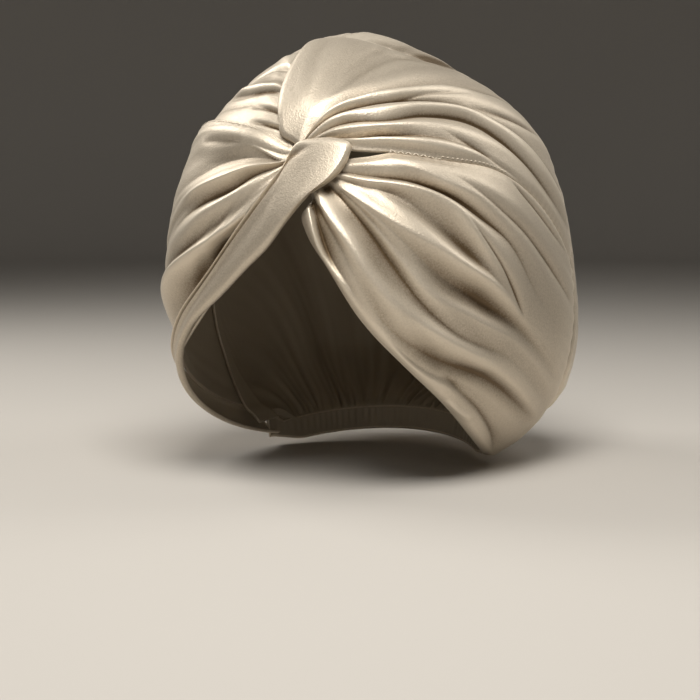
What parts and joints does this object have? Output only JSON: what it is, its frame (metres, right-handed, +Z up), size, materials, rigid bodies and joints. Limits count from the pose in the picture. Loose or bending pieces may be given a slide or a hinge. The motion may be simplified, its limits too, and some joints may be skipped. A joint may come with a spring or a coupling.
{
  "type": "twist-front satin sleep bonnet",
  "caption": "Sleep bonnet of pale satin wraps that twist into a knot over the forehead, with a full gathered back and a nape band.",
  "frame": {"origin": "seat of the head inside the rim, level with the tops of the ears", "axes": "+Z up through the crown, the face opening and the knot toward -Y, the wearer's left toward +X"},
  "size_m": [0.2063, 0.2442, 0.2298],
  "materials": {
    "satin": "champagne silk charmeuse satin, soft broad highlights along the folds"
  },
  "bodies": {
    "root": {"left_upper_wrap": "satin", "left_lower_wrap": "satin", "right_upper_wrap": "satin", "right_lower_wrap": "satin", "twist_band": "satin", "back_cap": "satin", "nape_band": "satin"}
  },
  "joints": []
}
